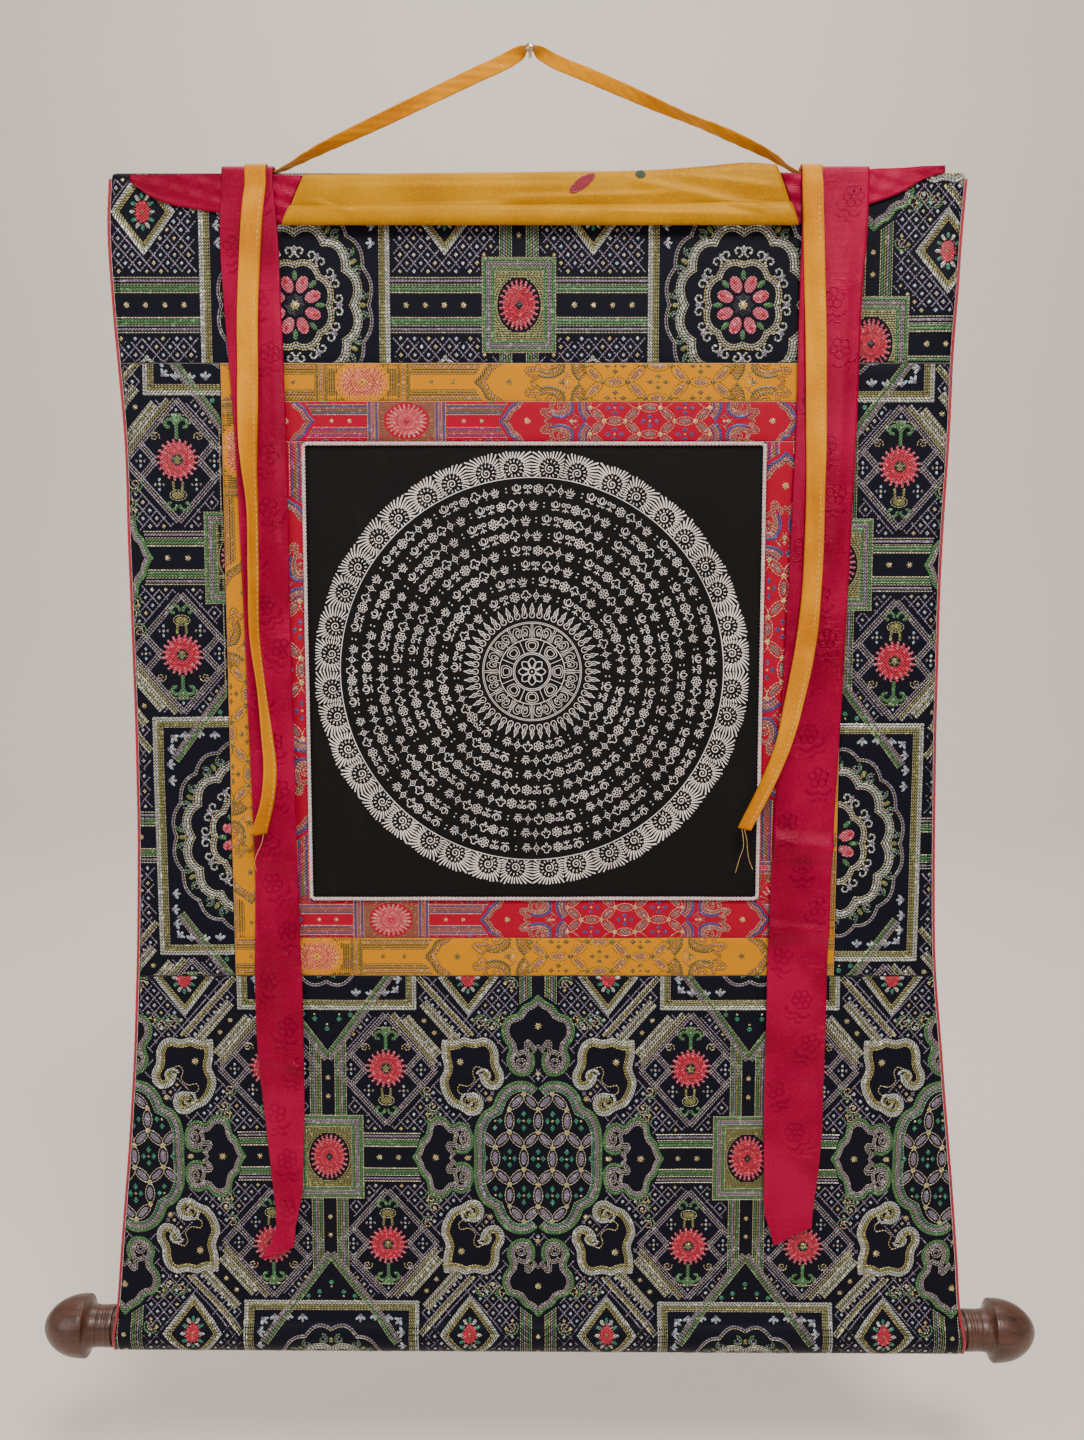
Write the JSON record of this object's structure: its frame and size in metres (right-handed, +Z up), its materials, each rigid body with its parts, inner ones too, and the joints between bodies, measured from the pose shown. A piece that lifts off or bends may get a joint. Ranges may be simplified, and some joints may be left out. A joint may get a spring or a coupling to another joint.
{
  "type": "thangka scroll painting on a wall nail",
  "caption": "Hanging scroll: a dark square painting in pieced brocade, with silk sashes, a rolled veil and a turned rod, hung from a ribbon on a wall nail.",
  "frame": {"origin": "where the nail enters the wall, at the middle of the back end of its shank", "axes": "+Z up, +Y into the wall, so the painting faces -Y; +X to the right as seen from the front"},
  "size_m": [0.9015, 0.0566, 1.1407],
  "materials": {
    "navy_brocade": "navy brocade with silver, green, mauve and gold threads",
    "yellow_brocade": "yellow brocade with tan and olive threads",
    "red_brocade": "red brocade with pink, blue and cream threads",
    "painted_canvas": "matt black painted canvas with fine white line work",
    "twisted_cord": "pale pink twisted cord",
    "crimson_silk": "glossy damask-woven silk",
    "mustard_silk": "plain satin-sheen silk",
    "orange_ribbon": "damask-woven ribbon with a stitched hem",
    "red_binding": "narrow bias binding",
    "dark_wood": "turned, stained and waxed",
    "plain_wood": "bare wood",
    "brass": "aged"
  },
  "bodies": {
    "root": {"wall_nail": "brass", "hanging_strap": "orange_ribbon", "top_batten": "plain_wood", "heading_panel": "navy_brocade", "heading_end": "navy_brocade", "side_panel_left": "navy_brocade", "side_panel_right": "navy_brocade", "yellow_border_top": "yellow_brocade", "yellow_border_foot": "yellow_brocade", "yellow_border_left": "yellow_brocade", "yellow_border_right": "yellow_brocade", "red_border_top": "red_brocade", "red_border_foot": "red_brocade", "red_border_left": "red_brocade", "red_border_right": "red_brocade", "painting": "painted_canvas", "painting_cord": "twisted_cord", "lower_panel": "navy_brocade", "binding_left": "red_binding", "binding_right": "red_binding", "bottom_dowel": "dark_wood", "finial_left": "dark_wood", "finial_right": "dark_wood", "veil_yellow": "mustard_silk", "veil_crimson_left": "crimson_silk", "veil_crimson_right": "crimson_silk", "sash_left": "crimson_silk", "sash_right": "crimson_silk", "streamer_left": "orange_ribbon", "streamer_right": "orange_ribbon"}
  },
  "joints": []
}
